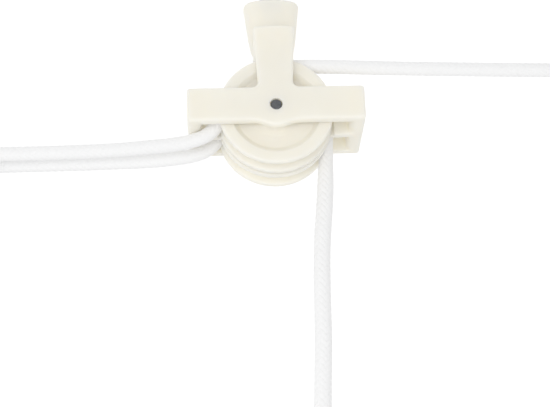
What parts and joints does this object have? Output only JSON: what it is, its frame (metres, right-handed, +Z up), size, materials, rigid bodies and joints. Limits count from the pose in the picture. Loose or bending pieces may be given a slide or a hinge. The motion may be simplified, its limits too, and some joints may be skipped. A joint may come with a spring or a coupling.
{
  "type": "ceiling pulley block",
  "caption": "Twin-sheave moulded ceiling pulley block for a hoist-up clothes airer, with braided cords run level through guide eyes, one crossing over and one dropping.",
  "frame": {"origin": "on the ceiling, in the middle of the housing's head, where the fixing screw goes in", "axes": "+Z up into the ceiling; X along the cords' level runs, with both cords arriving from -X; -Y is the front plate's side"},
  "size_m": [0.2132, 0.0272, 0.1737],
  "materials": {
    "cream_plastic": "injection moulded cream polypropylene, satin",
    "sheave_plastic": "injection moulded cream polypropylene, satin",
    "steel": "zinc plated steel, dull",
    "plug_nylon": "light grey nylon",
    "white_cord": "white braided polyester"
  },
  "bodies": {
    "block": {"pulley_housing": "cream_plastic", "axle_pin": "steel", "ceiling_screw": "steel", "ceiling_plug": "plug_nylon", "front_cord": "white_cord", "rear_cord": "white_cord", "front_cord_left_knot": "white_cord", "rear_cord_left_knot": "white_cord", "front_cord_right_knot": "white_cord", "rear_cord_drop_knot": "white_cord", "left_eye": "steel", "right_eye": "steel"},
    "front_wheel": {"front_sheave": "sheave_plastic"},
    "rear_wheel": {"rear_sheave": "sheave_plastic"}
  },
  "joints": [
    {"name": "front_sheave_spin", "type": "hinge", "parent": "block", "child": "front_wheel", "pos_m": [0, -0.0051, -0.0402], "axis": [0, 1, 0], "continuous": true},
    {"name": "rear_sheave_spin", "type": "hinge", "parent": "block", "child": "rear_wheel", "pos_m": [0, 0.0056, -0.0402], "axis": [0, 1, 0], "continuous": true}
  ]
}
